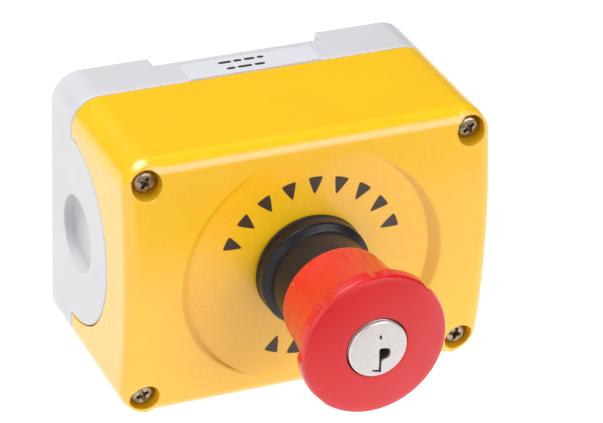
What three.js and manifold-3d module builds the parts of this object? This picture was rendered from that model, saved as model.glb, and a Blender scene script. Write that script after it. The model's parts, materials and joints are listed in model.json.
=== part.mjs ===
// Emergency stop button in a surface-mounted enclosure: a yellow cover screwed to a grey base, a red
// key-release mushroom head in a 22 mm actuator, and two contact blocks behind the panel. Millimetres, X to
// the right, Y to the wall, Z up. The origin is the middle of the flat back face; the front looks along -Y.
import * as THREE from "three";
import { mergeVertices } from "three/addons/utils/BufferGeometryUtils.js";
import Module from "manifold-3d";

const wasm = await Module();
wasm.setup();

// Enclosure
const WIDTH = 100.5;
const HEIGHT = 73.6;
const CORNER_R = 8;
const SEAM_Y = -16;
const SEAM_GAP = 0.25;
const FRONT_Y = -58.2;
const FRONT_CURVE_R = 170;
const FRONT_FILLET = 3.8;
const COVER_WALL = 2.4;
const PANEL_REAR_Y = -52.8;
const BASE_WALL = 4.4;
const BASE_FLOOR = 2.6;
const FIELD_Y = -55.6;
const FIELD_R = 33.3;
const BULGE_Y = -16.5;
const BULGE_R = 25.95;
const BULGE_GAP = 0.25;
const ENTRY_Y = -20.4;
const ENTRY_R = 10.25;
const ENTRY_DEPTH = 3.1;
const NOTCH = { half: 23.6, depth: 4.5, drop: 3 };
const SEAL_GROOVE = { out: 1.3, into: 3.1, depth: 1.5, gap: 0.2 };
const SEAL_END_Z = 26.6;
const WALL_SLOT = { x: 33, z: 22, r: 2.3, straight: 4.6 };
const BOSS_INSET = 0.6;
const LABEL = { x: 0.7, y: -11.4, w: 36.8, d: 8.8, t: 0.15, lift: 0.02 };
const BULGE_BACK_Y = -8;
const EARTH = { x: -16, z: -25, halfX: 5, halfZ: 4, frontY: -9, wireY: -5.6, wireR: 1.8, wireDepth: 2.4 };

// Distances past the material that a cut has to clear
const PAST = 2;
const FAR = 100;

// Cover screws
const SCREW_X = 44.2;
const SCREW_Z = 30.8;
const SCREW_POCKET_R = 3.9;
const SCREW_SEAT_Y = -50.8;
const THROUGH_R = 2.1;
const BOSS_R = 5.4;
const BOSS_END_Y = -24;
const POST_R = 3.3;
const POST_END_Y = -23.6;
const PILOT_R = 2;
const PILOT_END_Y = -7;

// Actuator
const PANEL_HOLE_R = 11.3;
const SLEEVE_R = 11;
const SLEEVE_END_Y = -41.6;
const BEZEL_R = 14.9;
const BEZEL_BACK_Y = -57.4;
const BEZEL_EDGE_Y = -60.5;
const BEZEL_FRONT_Y = -62;
const TUBE_R = 13.1;
const TUBE_END_Y = -79;
const TUBE_BORE_R = 10.8;
const REAR_BORE_R = 9.3;
const WEB_FRONT_Y = -60;
const WEB_BACK_Y = -49;
const STEM_HOLE_R = 4.5;
const LATCH_Y = -54.5;
const LATCH_PIN_R = 1.3;
const STEM_R = 4.2;
const PLATE_R = 8.8;
const HEAD_R = 19.65;
const HEAD_BORE_R = 8.15;
const HEAD_BACK_Y = -72.8;
const HEAD_FACE_Y = -98.1;
const GRIPS = 8;
const GRIP_DEPTH = 0.9;
const GRIP_TURN = THREE.MathUtils.degToRad(42);
const GRIP_RADII = [17.8, 19.2];
const GRIP_YS = [-97.2, -95.7];
const HEAD_HOLLOW = { inner: 10.3, outer: 13.55, frontY: -87.5 };
const LOCK_R = 7.8;
const LOCK_BACK_Y = -79;
const LOCK_FACE_Y = -99;
const CAP_BACK_Y = -98.1;
const PLUG_R = 6.9;
const PLUG_BORE_R = 7.2;
const PLUG_BACK_Y = -78.4;
const KEY_DEPTH_Y = -84;
const CAM = { halfX: 6.5, halfZ: 2, backY: -77.2, frontY: -78.2 };
const ADAPTER = { halfX: 15, halfZ: 24.5, backY: -41.5, frontY: -49 };
const ADAPTER_SCREW = { z: 21, threadR: 1.7, threadEndY: -48 };
const NUT = { r: 15, backY: -49.3, frontY: -52.6 };
const SEAL = { inner: 11.5, outer: 15, backY: -55.75, frontY: -57.1 };
const COIL = { r: 6.6, wire: 0.65, backY: -60.2, frontY: -74.6, turns: 5 };
const LATCH_FROM_Z = 4.6;
const LATCH_TO_Z = 8.4;
const LATCH_COIL = { r: 0.85, wire: 0.22, length: 2.2, turns: 3 };
const STEM_CAP = { r: 8.05, frontY: -76.8, backY: -74.8 };
const STEM_GROOVE = { r: 3.3, frontY: -60.5, backY: -58.6, slope: 0.5 };
const STEM_SPIGOT = { r: 2.5, frontY: -48.9, backY: -46.8 };
const PLATE = { holeR: 2.8, frontY: -48.7, backY: -46.6 };

// Contact blocks
const BLOCK_X = 7.7;
const BLOCK_HALF_W = 7.3;
const BLOCK_HALF_H = 18.8;
const BLOCK_FRONT_Y = -41.2;
const BLOCK_BACK_Y = -18;
const BLOCK_WALL = 1.2;
const CHAMBER = { halfZ: 8.6, backY: -20, frontY: -39 };
const TERMINAL_SPACE = { fromZ: 9.9, frontY: -33.6 };
const CONTACT_PASSAGE = { halfX: 4, fromZ: 8, toZ: 11, backY: -29.8, frontY: -31.7 };
const CONTACT = { halfX: 3.7, fromZ: 4.2, toZ: 18, backY: -30.3, frontY: -31.4, holeR: 1.9 };
const PLUNGER_X = 6.2;
const PLUNGER_R = 1.6;
const PLUNGER = { frontY: -46.3, collarR: 2.9, collarY: -34.2, tailR: 1.2, tailY: -25.6, play: 0.4 };
const BRIDGE = { y: -29.9, halfX: 2.3, halfZ: 7, thick: 0.9, holeR: 1.5 };
const CONTACT_COIL = { r: 2.2, wire: 0.35, turns: 5 };
const TERMINAL_Z = 13.4;
const TERMINAL_SEAT_Y = -30;

function finish(color, roughness, metalness = 0) {
  return new THREE.MeshStandardMaterial({ color, roughness, metalness });
}

const YELLOW = finish(0xfcc42c, 0.42);
const GREY = finish(0xd6d5da, 0.55);
const RED = finish(0xdf3b3c, 0.38);
const BLACK = finish(0x26262a, 0.45);
const RUBBER = finish(0x1b1b1c, 0.8);
const PAPER = finish(0xefeef2, 0.85);
const CHROME = finish(0xdcd9d6, 0.22, 1);
const ZINC = finish(0xb9b2a4, 0.34, 1);
const BRASS = finish(0xc9a24e, 0.35, 1);
const STEEL = finish(0xb4b6b8, 0.3, 1);
const CASE = finish(0xc9cbd0, 0.6);

// A closed, outward-facing solid from any closed geometry.
function solid(geometry) {
  const bare = geometry.clone();
  bare.deleteAttribute("normal");
  bare.deleteAttribute("uv");
  const merged = mergeVertices(bare, 1e-4);
  const v = Float32Array.from(merged.attributes.position.array);
  const faces = [];
  let volume = 0;
  const corner = new THREE.Vector3();
  const point = (i) => new THREE.Vector3(v[3 * i], v[3 * i + 1], v[3 * i + 2]);
  const index = merged.index.array;
  for (let i = 0; i < index.length; i += 3) {
    const [a, b, c] = [index[i], index[i + 1], index[i + 2]];
    if (a === b || b === c || c === a) continue;
    faces.push([a, b, c]);
    volume += corner.crossVectors(point(b), point(c)).dot(point(a));
  }
  if (volume < 0) faces.forEach((face) => face.reverse());
  const triVerts = Uint32Array.from(faces.flat());
  return new wasm.Manifold(new wasm.Mesh({ numProp: 3, vertProperties: v, triVerts }));
}

function geometryOf(manifold) {
  const mesh = manifold.getMesh();
  const stride = mesh.numProp;
  const position = new Float32Array(3 * (mesh.vertProperties.length / stride));
  for (let i = 0; i < position.length / 3; i++) {
    for (let k = 0; k < 3; k++) position[3 * i + k] = mesh.vertProperties[stride * i + k];
  }
  const geometry = new THREE.BufferGeometry();
  geometry.setAttribute("position", new THREE.BufferAttribute(position, 3));
  geometry.setIndex(Array.from(mesh.triVerts));
  return geometry;
}

const join = (first, ...rest) => rest.reduce((all, next) => all.add(next), first);
const cut = (first, ...rest) => rest.reduce((all, next) => all.subtract(next), first);

function box(x0, x1, y0, y1, z0, z1) {
  const geometry = new THREE.BoxGeometry(Math.abs(x1 - x0), Math.abs(y1 - y0), Math.abs(z1 - z0));
  return solid(geometry.translate((x0 + x1) / 2, (y0 + y1) / 2, (z0 + z1) / 2));
}

// A cylinder along Y, or a cone when r1 (at y1) differs from r0 (at y0); y1 is in front of y0.
function rod(r0, y0, y1, x = 0, z = 0, sides = 24, r1 = r0) {
  return solid(new THREE.CylinderGeometry(r0, r1, y0 - y1, sides).translate(x, (y0 + y1) / 2, z));
}

function rodX(r, x0, x1, y, z, sides = 24) {
  const geometry = new THREE.CylinderGeometry(r, r, Math.abs(x1 - x0), sides).rotateZ(Math.PI / 2);
  return solid(geometry.translate((x0 + x1) / 2, y, z));
}

function rodZ(r, z0, z1, x, y, sides = 16) {
  const geometry = new THREE.CylinderGeometry(r, r, Math.abs(z1 - z0), sides).rotateX(Math.PI / 2);
  return solid(geometry.translate(x, y, (z0 + z1) / 2));
}

// A body of revolution about Y from [radius, y] pairs; a profile off the axis closes on itself.
function turned(profile, sides = 32, x = 0, z = 0) {
  const points = profile.map(([r, y]) => new THREE.Vector2(r, y));
  if (profile[0][0] > 0) points.push(points[0].clone());
  return solid(new THREE.LatheGeometry(points, sides).translate(x, 0, z));
}

function roundedRect(width, height, r) {
  const [a, b] = [width / 2, height / 2];
  const shape = new THREE.Shape();
  shape.moveTo(-a + r, -b);
  shape.lineTo(a - r, -b);
  shape.absarc(a - r, -b + r, r, -Math.PI / 2, 0);
  shape.lineTo(a, b - r);
  shape.absarc(a - r, b - r, r, 0, Math.PI / 2);
  shape.lineTo(-a + r, b);
  shape.absarc(-a + r, b - r, r, Math.PI / 2, Math.PI);
  shape.lineTo(-a, -b + r);
  shape.absarc(-a + r, -b + r, r, Math.PI, 1.5 * Math.PI);
  return shape;
}

// A shape drawn in X and Z, carried from y0 forward to y1.
function slab(shape, y0, y1, curveSegments = 5) {
  const geometry = new THREE.ExtrudeGeometry(shape, { depth: y0 - y1, bevelEnabled: false, curveSegments });
  return solid(geometry.rotateX(Math.PI / 2).translate(0, y0, 0));
}

const insetSlab = (inset, y0, y1) =>
  slab(roundedRect(WIDTH - 2 * inset, HEIGHT - 2 * inset, Math.max(CORNER_R - inset, 1)), y0, y1);

// A coil along Y between y0 and y1 with closed, flat-lying end turns.
class Helix extends THREE.Curve {
  constructor(radius, y0, y1, turns) {
    super();
    Object.assign(this, { radius, y0, y1, turns });
  }
  getPoint(t, target = new THREE.Vector3()) {
    const angle = 2 * Math.PI * this.turns * t;
    const lead = Math.min(1, Math.max(0, (t * this.turns - 0.6) / (this.turns - 1.2)));
    const rise = 0.08 * t + 0.92 * lead;
    return target.set(
      this.radius * Math.cos(angle),
      this.y0 + (this.y1 - this.y0) * rise,
      this.radius * Math.sin(angle),
    );
  }
}

function coil(radius, wire, y0, y1, turns, perTurn, sides) {
  const section = new THREE.Shape();
  for (let i = 0; i <= sides; i++) {
    const angle = (2 * Math.PI * i) / sides;
    const [x, y] = [wire * Math.cos(angle), wire * Math.sin(angle)];
    if (i === 0) section.moveTo(x, y);
    else section.lineTo(x, y);
  }
  const path = new Helix(radius, y0 - Math.sign(y0 - y1) * wire, y1 + Math.sign(y0 - y1) * wire, turns);
  const steps = Math.round(turns * perTurn);
  return new THREE.ExtrudeGeometry(section, { steps, extrudePath: path, bevelEnabled: false });
}

const frontAt = (z) => FRONT_Y + (z * z) / (2 * FRONT_CURVE_R);

// The outside of the cover: a rounded box whose front follows frontAt(z), with a rounded front edge.
function domedBox(back) {
  const half = [];
  const [a, b] = [WIDTH / 2 - CORNER_R, HEIGHT / 2 - CORNER_R];
  const arc = 5;
  const run = 6;
  for (let i = 0; i <= arc; i++) {
    const angle = (Math.PI / 2) * (1 - i / arc);
    half.push({ x: a, z: b, nx: Math.cos(angle), nz: Math.sin(angle) });
  }
  for (let i = 1; i < run; i++) half.push({ x: a, z: b * (1 - (2 * i) / run), nx: 1, nz: 0 });
  for (let i = 0; i <= arc; i++) {
    const angle = (-Math.PI / 2) * (i / arc);
    half.push({ x: a, z: -b, nx: Math.cos(angle), nz: Math.sin(angle) });
  }
  const filletSteps = 3;
  const rows = [{ inset: 0, rise: null }];
  for (let k = 0; k <= filletSteps; k++) {
    const angle = ((Math.PI / 2) * k) / filletSteps;
    rows.push({ inset: FRONT_FILLET * (1 - Math.cos(angle)), rise: FRONT_FILLET * (1 - Math.sin(angle)) });
  }
  const ring = [...half, ...half.map((p) => ({ ...p, mirror: true })).reverse()];
  const positions = [];
  for (const { inset, rise } of rows) {
    for (const p of ring) {
      const x = p.x + (CORNER_R - inset) * p.nx;
      const z = p.z + (CORNER_R - inset) * p.nz;
      positions.push(p.mirror ? -x : x, rise === null ? back : frontAt(z) + rise, z);
    }
  }
  const count = ring.length;
  const index = [];
  const quad = (i, j, k, l) => index.push(i, j, k, i, k, l);
  for (let row = 0; row + 1 < rows.length; row++) {
    for (let i = 0; i < count; i++) {
      const next = (i + 1) % count;
      quad(row * count + i, row * count + next, (row + 1) * count + next, (row + 1) * count + i);
    }
  }
  const last = (rows.length - 1) * count;
  for (let i = 0; i + 1 < half.length; i++) {
    const [left, leftNext] = [count - 1 - i, count - 2 - i];
    quad(i, left, leftNext, i + 1);
    quad(last + i, last + i + 1, last + leftNext, last + left);
  }
  const geometry = new THREE.BufferGeometry();
  geometry.setAttribute("position", new THREE.Float32BufferAttribute(positions, 3));
  geometry.setIndex(index);
  return solid(geometry);
}

const signs = [-1, 1];
const corners = signs.flatMap((sx) => signs.map((sz) => [sx * SCREW_X, sz * SCREW_Z]));
const sideX = (side, inset) => side * (WIDTH / 2 - inset);

// The space of one slotted hole through the back wall, for a fixing screw.
function makeWallSlot(x, z) {
  const { r, straight } = WALL_SLOT;
  const [front, back] = [-BASE_FLOOR - 1, 1];
  return join(
    rod(r, back, front, x - straight / 2, z, 16),
    rod(r, back, front, x + straight / 2, z, 16),
    box(x - straight / 2, x + straight / 2, back, front, z - r, z + r),
  );
}

function makeBase() {
  const rim = SEAM_Y + SEAM_GAP / 2;
  let body = insetSlab(0, 0, rim);
  const bulgeBand = box(-WIDTH, WIDTH, BULGE_BACK_Y, -FAR, -HEIGHT, HEIGHT);
  for (const side of signs) {
    const disc = rodX(BULGE_R, sideX(side, BASE_WALL), sideX(side, 0), BULGE_Y, 0, 48);
    body = body.add(disc.intersect(bulgeBand));
  }
  body = cut(body, insetSlab(BASE_WALL, -BASE_FLOOR, -FAR));
  for (const [x, z] of corners) {
    const post = rod(POST_R, -BASE_FLOOR + 0.5, POST_END_Y, x, z, 12);
    body = join(body, post.intersect(insetSlab(COVER_WALL + 0.35, 0, -FAR)));
  }
  const { out, into, depth } = SEAL_GROOVE;
  const groove = cut(insetSlab(out, rim + depth, -FAR / 2), insetSlab(into, 0, -FAR));
  const between = box(-WIDTH, WIDTH, PAST, -FAR, -SEAL_END_Z, SEAL_END_Z);
  body = cut(body, cut(groove, between, ...corners.map(([x, z]) => rod(POST_R, 0, POST_END_Y, x, z, 16))));
  for (const [x, z] of corners) body = cut(body, rod(PILOT_R, PILOT_END_Y, POST_END_Y - PAST, x, z, 12));
  for (const side of signs) {
    body = cut(body, rodX(ENTRY_R, sideX(side, ENTRY_DEPTH), sideX(side, -PAST), ENTRY_Y, 0, 32));
  }
  body = cut(body, box(-NOTCH.half, NOTCH.half, PAST, -NOTCH.depth, HEIGHT / 2 - NOTCH.drop, HEIGHT));
  for (const sx of signs) {
    for (const sz of signs) body = cut(body, makeWallSlot(sx * WALL_SLOT.x, sz * WALL_SLOT.z));
  }
  return body;
}

function makeCover() {
  let body = cut(domedBox(SEAM_Y - SEAM_GAP / 2), insetSlab(COVER_WALL, 0, PANEL_REAR_Y));
  const bossLimit = insetSlab(BOSS_INSET, 0, PANEL_REAR_Y - 2);
  for (const [x, z] of corners) {
    body = join(body, rod(BOSS_R, BOSS_END_Y, PANEL_REAR_Y - 1, x, z, 20).intersect(bossLimit));
  }
  body = cut(body, rod(FIELD_R, FIELD_Y, FIELD_Y - 5, 0, 0, 48, FIELD_R + 5));
  for (const [x, z] of corners) {
    body = cut(
      body,
      rod(SCREW_POCKET_R, SCREW_SEAT_Y, FRONT_Y - PAST, x, z, 20),
      rod(THROUGH_R, SEAM_Y, SCREW_SEAT_Y - 1, x, z, 12),
    );
  }
  for (const side of signs) {
    body = cut(body, rodX(BULGE_R + BULGE_GAP, sideX(side, 5), sideX(side, -PAST), BULGE_Y, 0, 48));
  }
  return cut(body, rod(PANEL_HOLE_R, PANEL_REAR_Y + PAST, FRONT_Y - PAST, 0, 0, 32));
}

// One rubber strip in the groove of the rim, over the top or under the bottom edge.
function makeGasket(side) {
  const { out, into, depth, gap } = SEAL_GROOVE;
  const ring = cut(insetSlab(out + gap, SEAM_Y + depth - gap, SEAM_Y), insetSlab(into - gap, 0, -FAR));
  const keep = box(-WIDTH, WIDTH, PAST, -FAR, side * (SEAL_END_Z + 0.3), side * HEIGHT);
  return cut(ring.intersect(keep), ...corners.map(([x, z]) => rod(POST_R + 0.3, 0, POST_END_Y, x, z, 16)));
}

// A pan-head screw with its seat on y, and its head towards -Y when dir is -1 and towards +Y when dir is 1.
function makeScrew({ x, z, y, dir, headR, headH, shankR, length, sides, slot }) {
  const profile = [
    [0, length],
    [shankR * 0.6, length],
    [shankR, length - shankR * 0.6],
    [shankR, 0],
    [headR, 0],
    [headR, -headH * 0.5],
    [headR * 0.82, -headH * 0.88],
    [headR * 0.5, -headH],
    [0, -headH],
  ];
  let body = turned(profile.map(([r, along]) => [r, -dir * along]), sides);
  const tip = dir * headH;
  const [near, far] = [tip + dir, tip - dir * headH * 0.6];
  const cross = join(
    box(-slot.w, slot.w, near, far, -slot.l, slot.l),
    box(-slot.l, slot.l, near, far, -slot.w, slot.w),
  );
  const straight = box(-headR * 1.1, headR * 1.1, near, far, -slot.w, slot.w);
  body = cut(body, slot.cross ? cross : straight);
  return body.translate([x, y, z]);
}

const coverScrew = (x, z) =>
  makeScrew({
    x, z, y: SCREW_SEAT_Y - 0.2, dir: -1, headR: 3.25, headH: 2.6, shankR: 1.75, length: 38, sides: 16,
    slot: { w: 0.42, l: 1.8, cross: true },
  });

function makeActuatorBody() {
  const body = turned(
    [
      [REAR_BORE_R, SLEEVE_END_Y],
      [SLEEVE_R, SLEEVE_END_Y],
      [SLEEVE_R, BEZEL_BACK_Y],
      [BEZEL_R, BEZEL_BACK_Y],
      [BEZEL_R, BEZEL_EDGE_Y],
      [TUBE_R, BEZEL_FRONT_Y],
      [TUBE_R, TUBE_END_Y],
      [TUBE_BORE_R, TUBE_END_Y],
      [TUBE_BORE_R, WEB_FRONT_Y],
      [STEM_HOLE_R, WEB_FRONT_Y],
      [STEM_HOLE_R, WEB_BACK_Y],
      [REAR_BORE_R, WEB_BACK_Y],
    ],
    32,
  );
  return cut(body, rodZ(LATCH_PIN_R + 0.2, -12, 12, 0, LATCH_Y, 12));
}

// The head: hub, domed face, rim with shallow grips cut into its rear edge, flared skirt.
const HEAD_PROFILE = [
  [HEAD_BORE_R, HEAD_BACK_Y - 0.4],
  [HEAD_BORE_R, HEAD_FACE_Y + 0.2],
  [HEAD_BORE_R + 0.4, HEAD_FACE_Y],
  [14, HEAD_FACE_Y + 0.25],
  [18.3, HEAD_FACE_Y + 0.75],
  [HEAD_R - 0.3, HEAD_FACE_Y + 1.3],
  [HEAD_R, HEAD_FACE_Y + 2.6],
  [HEAD_R, HEAD_FACE_Y + 4.4],
  [HEAD_R - 0.35, HEAD_FACE_Y + 5.1],
  [17.9, HEAD_FACE_Y + 5.6],
  [17.1, HEAD_FACE_Y + 7],
  [16.1, HEAD_FACE_Y + 11.6],
  [15, HEAD_BACK_Y - 6.2],
  [14.7, HEAD_BACK_Y - 0.5],
  [14.3, HEAD_BACK_Y],
  [HEAD_HOLLOW.outer, HEAD_BACK_Y],
  [HEAD_HOLLOW.outer, HEAD_HOLLOW.frontY],
  [HEAD_HOLLOW.inner, HEAD_HOLLOW.frontY],
  [HEAD_HOLLOW.inner, HEAD_BACK_Y - 0.4],
];

function makeHead() {
  const sides = 48;
  const points = [...HEAD_PROFILE, HEAD_PROFILE[0]].map(([r, y]) => new THREE.Vector2(r, y));
  const geometry = new THREE.LatheGeometry(points, sides);
  const position = geometry.attributes.position;
  for (let i = 0; i < position.count; i++) {
    const [x, y, z] = [position.getX(i), position.getY(i), position.getZ(i)];
    const r = Math.hypot(x, z);
    const angle = Math.atan2(z, x);
    const wave = Math.max(0, Math.cos(GRIPS * (angle - GRIP_TURN)));
    const edge = THREE.MathUtils.smoothstep(r, ...GRIP_RADII) * THREE.MathUtils.smoothstep(y, ...GRIP_YS);
    const scale = 1 - (GRIP_DEPTH * wave * edge) / Math.max(r, 1);
    position.setXYZ(i, x * scale, y, z * scale);
  }
  return solid(geometry);
}

// The lock's rotor: a plug with a cap over the front, and the keyway cut into both.
function makePlug() {
  const body = turned(
    [
      [0, PLUG_BACK_Y],
      [PLUG_R, PLUG_BACK_Y],
      [PLUG_R, CAP_BACK_Y],
      [LOCK_R, CAP_BACK_Y],
      [LOCK_R, LOCK_FACE_Y + 0.3],
      [LOCK_R - 0.3, LOCK_FACE_Y],
      [0, LOCK_FACE_Y],
    ],
    32,
  );
  const way = (x0, x1, z0, z1) => box(x0, x1, KEY_DEPTH_Y, LOCK_FACE_Y - PAST, z0, z1);
  const slot = way(0.2, 1, -6.7, 3.9);
  const foot = way(-1.4, 0.6, -6.5, -5.8);
  const lobe = way(0.6, 3, -3, -0.2);
  return cut(body, join(slot, foot, lobe));
}

function makeContactHousing(side) {
  const x = side * BLOCK_X;
  const inner = BLOCK_HALF_W - BLOCK_WALL;
  const { halfX, fromZ, toZ, backY, frontY } = CONTACT_PASSAGE;
  let body = cut(
    box(x - BLOCK_HALF_W, x + BLOCK_HALF_W, BLOCK_BACK_Y, BLOCK_FRONT_Y, -BLOCK_HALF_H, BLOCK_HALF_H),
    box(x - inner, x + inner, CHAMBER.backY, CHAMBER.frontY, -CHAMBER.halfZ, CHAMBER.halfZ),
    rod(PLUNGER_R + PLUNGER.play, CHAMBER.frontY + PAST, BLOCK_FRONT_Y - PAST, side * PLUNGER_X, 0, 20),
  );
  for (const end of signs) {
    const [from, to] = [end * TERMINAL_SPACE.fromZ, end * (BLOCK_HALF_H + PAST)];
    body = cut(
      body,
      box(x - inner, x + inner, BLOCK_BACK_Y + PAST, TERMINAL_SPACE.frontY, from, to),
      box(x - halfX, x + halfX, backY, frontY, end * fromZ, end * toZ),
    );
  }
  return body;
}

function makePlunger(side) {
  const { frontY, collarR, collarY, tailR, tailY } = PLUNGER;
  const seatY = BRIDGE.y - 0.3;
  return turned(
    [
      [0, frontY],
      [PLUNGER_R - 0.4, frontY],
      [PLUNGER_R, frontY + 0.4],
      [PLUNGER_R, collarY],
      [collarR, collarY],
      [collarR, seatY],
      [tailR, seatY],
      [tailR, tailY],
      [0, tailY],
    ],
    16,
    side * PLUNGER_X,
  );
}

function makeBridge(side) {
  const x = side * PLUNGER_X;
  const { y, halfX, halfZ, thick, holeR } = BRIDGE;
  const strip = box(x - halfX, x + halfX, y + thick, y, -halfZ, halfZ);
  return cut(strip, rod(holeR, y + PAST, y - PAST, x, 0, 16));
}

function makeFixedContact(side, end) {
  const x = side * BLOCK_X;
  const { halfX, fromZ, toZ, backY, frontY, holeR } = CONTACT;
  const strip = box(x - halfX, x + halfX, backY, frontY, end * fromZ, end * toZ);
  return cut(strip, rod(holeR, backY + PAST, frontY - PAST, x, end * TERMINAL_Z, 16));
}

const terminalScrew = (side, end) =>
  makeScrew({
    x: side * BLOCK_X, z: end * TERMINAL_Z, y: TERMINAL_SEAT_Y, dir: 1, headR: 3, headH: 2.2, shankR: 1.6,
    length: 3.2, sides: 12, slot: { w: 0.4, l: 2, cross: true },
  });

const part = new THREE.Group();

function place(name, shape, material, { x = 0, y = 0, z = 0 } = {}) {
  const geometry = shape.isBufferGeometry ? geometryOf(solid(shape)) : geometryOf(shape);
  const mesh = new THREE.Mesh(geometry, material);
  mesh.name = name;
  mesh.position.set(x, y, z);
  part.add(mesh);
}

// Enclosure
place("base", makeBase(), GREY);
place("cover", makeCover(), YELLOW);
place("cover_gasket_upper", makeGasket(1), RUBBER);
place("cover_gasket_lower", makeGasket(-1), RUBBER);
corners.forEach(([x, z], i) => place(`cover_screw_${i + 1}`, coverScrew(x, z), ZINC));
const labelZ = HEIGHT / 2 + LABEL.lift;
place(
  "label",
  box(LABEL.x - LABEL.w / 2, LABEL.x + LABEL.w / 2, LABEL.y + LABEL.d / 2, LABEL.y - LABEL.d / 2, labelZ,
    labelZ + LABEL.t),
  PAPER,
);
const earthSide = EARTH.x - EARTH.halfX;
const earthBlock = cut(
  box(
    earthSide, EARTH.x + EARTH.halfX, -BASE_FLOOR - 0.2, EARTH.frontY,
    EARTH.z - EARTH.halfZ, EARTH.z + EARTH.halfZ,
  ),
  rod(1.9, 0, EARTH.frontY - PAST, EARTH.x, EARTH.z, 12),
  rodX(EARTH.wireR, earthSide - PAST, earthSide + EARTH.wireDepth, EARTH.wireY, EARTH.z, 12),
);
place("earth_terminal", earthBlock, BRASS);
place(
  "earth_terminal_screw",
  makeScrew({
    x: EARTH.x, z: EARTH.z, y: EARTH.frontY - 0.2, dir: -1, headR: 3, headH: 2, shankR: 1.6, length: 6,
    sides: 12, slot: { w: 0.4, l: 1.9, cross: false },
  }),
  ZINC,
);

// Actuator
place("actuator_body", makeActuatorBody(), BLACK);
place(
  "panel_seal",
  turned(
    [
      [SEAL.inner, SEAL.backY],
      [SEAL.outer, SEAL.backY],
      [SEAL.outer, SEAL.frontY],
      [SEAL.inner, SEAL.frontY],
    ],
    32,
  ),
  RUBBER,
);
const nutHole = rod(PANEL_HOLE_R, NUT.backY + PAST, NUT.frontY - PAST, 0, 0, 32);
place("fixing_nut", cut(rod(NUT.r, NUT.backY, NUT.frontY, 0, 0, 6), nutHole), BLACK);
const adapter = cut(
  box(-ADAPTER.halfX, ADAPTER.halfX, ADAPTER.backY, ADAPTER.frontY, -ADAPTER.halfZ, ADAPTER.halfZ),
  rod(PANEL_HOLE_R, ADAPTER.backY + PAST, ADAPTER.frontY - PAST, 0, 0, 32),
  ...signs.map((end) =>
    rod(ADAPTER_SCREW.threadR, ADAPTER.backY + PAST, ADAPTER_SCREW.threadEndY, 0, end * ADAPTER_SCREW.z, 12),
  ),
);
place("mounting_adapter", adapter, BLACK);
signs.forEach((end, i) =>
  place(
    `adapter_screw_${i + 1}`,
    makeScrew({
      x: 0, z: end * ADAPTER_SCREW.z, y: ADAPTER.backY + 0.2, dir: 1, headR: 2, headH: 1.7, shankR: 1.4,
      length: 5.4, sides: 12, slot: { w: 0.35, l: 1.3, cross: false },
    }),
    ZINC,
  ),
);
signs.forEach((end, i) => {
  const pin = rodZ(LATCH_PIN_R, end * LATCH_FROM_Z, end * LATCH_TO_Z, 0, LATCH_Y, 12);
  place(`latch_pin_${i + 1}`, pin, STEEL);
  const { r, wire, length, turns } = LATCH_COIL;
  const spring = coil(r, wire, 0, -length, turns, 6, 4).rotateX((end * -Math.PI) / 2);
  place(`latch_spring_${i + 1}`, spring.translate(0, LATCH_Y, end * (LATCH_TO_Z + 0.1)), STEEL);
});

// Moving head
place("mushroom_head", makeHead(), RED);
const housingFrontY = CAP_BACK_Y + 0.3;
const lockHousing = turned(
  [
    [PLUG_BORE_R, LOCK_BACK_Y],
    [LOCK_R, LOCK_BACK_Y],
    [LOCK_R, housingFrontY],
    [PLUG_BORE_R, housingFrontY],
  ],
  32,
);
place("lock_housing", lockHousing, CHROME);
place("lock_plug", makePlug(), CHROME);
place("lock_cam", box(-CAM.halfX, CAM.halfX, CAM.backY, CAM.frontY, -CAM.halfZ, CAM.halfZ), STEEL);
const stem = turned(
  [
    [0, STEM_CAP.frontY],
    [STEM_CAP.r, STEM_CAP.frontY],
    [STEM_CAP.r, STEM_CAP.backY],
    [STEM_R, STEM_CAP.backY],
    [STEM_R, STEM_GROOVE.frontY - STEM_GROOVE.slope],
    [STEM_GROOVE.r, STEM_GROOVE.frontY],
    [STEM_GROOVE.r, STEM_GROOVE.backY],
    [STEM_R, STEM_GROOVE.backY + STEM_GROOVE.slope],
    [STEM_R, STEM_SPIGOT.frontY],
    [STEM_SPIGOT.r, STEM_SPIGOT.frontY],
    [STEM_SPIGOT.r, STEM_SPIGOT.backY],
    [0, STEM_SPIGOT.backY],
  ],
  20,
);
place("pusher_stem", stem, BLACK);
const plate = turned(
  [
    [PLATE.holeR, PLATE.frontY],
    [PLATE_R, PLATE.frontY],
    [PLATE_R, PLATE.backY],
    [PLATE.holeR, PLATE.backY],
  ],
  24,
);
place("pusher_plate", plate, BLACK);
place("return_spring", coil(COIL.r, COIL.wire, COIL.backY, COIL.frontY, COIL.turns, 12, 5), STEEL);

// Contact blocks
signs.forEach((side, i) => {
  const n = i + 1;
  place(`contact_block_housing_${n}`, makeContactHousing(side), CASE);
  place(`contact_plunger_${n}`, makePlunger(side), BLACK);
  place(`contact_bridge_${n}`, makeBridge(side), BRASS);
  const { r, wire, turns } = CONTACT_COIL;
  const spring = coil(r, wire, BLOCK_BACK_Y - 2.2, BRIDGE.y + BRIDGE.thick + 0.2, turns, 8, 4);
  place(`contact_spring_${n}`, spring, STEEL, { x: side * PLUNGER_X });
  place(`fixed_contact_upper_${n}`, makeFixedContact(side, 1), BRASS);
  place(`fixed_contact_lower_${n}`, makeFixedContact(side, -1), BRASS);
  place(`terminal_screw_upper_${n}`, terminalScrew(side, 1), ZINC);
  place(`terminal_screw_lower_${n}`, terminalScrew(side, -1), ZINC);
});

export default part;
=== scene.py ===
"""Looks of the emergency stop button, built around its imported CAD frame.

Shapes are worked out in millimetres in the frame of the CAD model and turned into metres where a mesh is
made. The moulded parts, the lock plug and the screws are distance fields, which are negative inside the part,
so that every edge can carry its own small radius. The head, the rings and the springs are turned or wound.
"""
import json
import math

import bpy
import numpy as np
from mathutils import Matrix, Vector


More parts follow.
